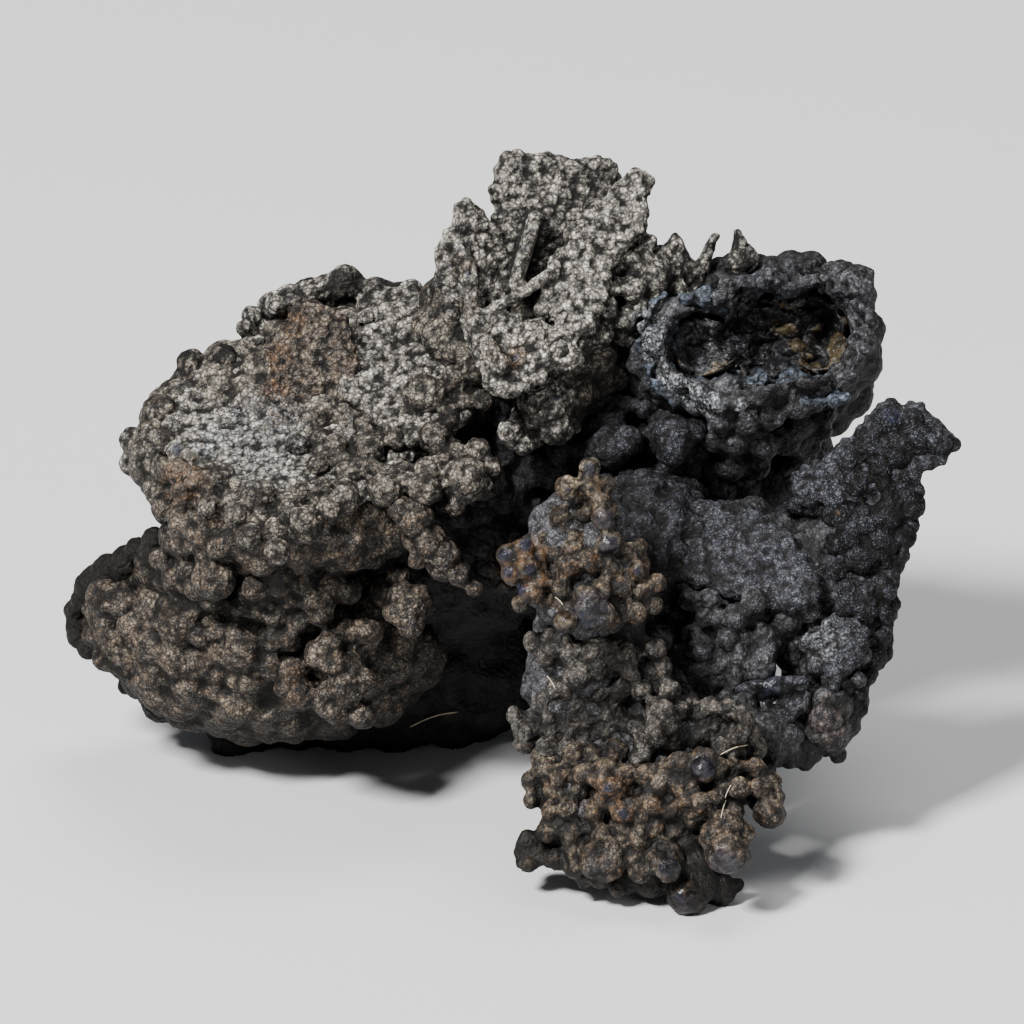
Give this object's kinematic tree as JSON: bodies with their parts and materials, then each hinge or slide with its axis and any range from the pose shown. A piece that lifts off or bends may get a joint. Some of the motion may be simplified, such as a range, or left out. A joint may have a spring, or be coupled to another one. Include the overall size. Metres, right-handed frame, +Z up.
{
  "type": "wulfenite mineral specimen",
  "caption": "Free-standing mineral specimen: a dark knobbly crust of rounded beads grown over upright tabular crystals, with an open drusy hollow and a flat base to rest on.",
  "frame": {"origin": "centre of the bounding box, on the flat base", "axes": "+Z up, +X to the right along the longest side, -Y towards the face that is shown"},
  "size_m": [0.0894, 0.067, 0.0638],
  "materials": {
    "dark_crust": "matt to satin dark grey-brown mineral crust, dusty tan on upper faces, rust at the rims",
    "drusy_lining": "thin glittering druse, pale blue-grey at the broken rim, golden brown inside"
  },
  "bodies": {
    "root": {"botryoidal_mass": "dark_crust", "vug_lining": "drusy_lining"}
  },
  "joints": []
}
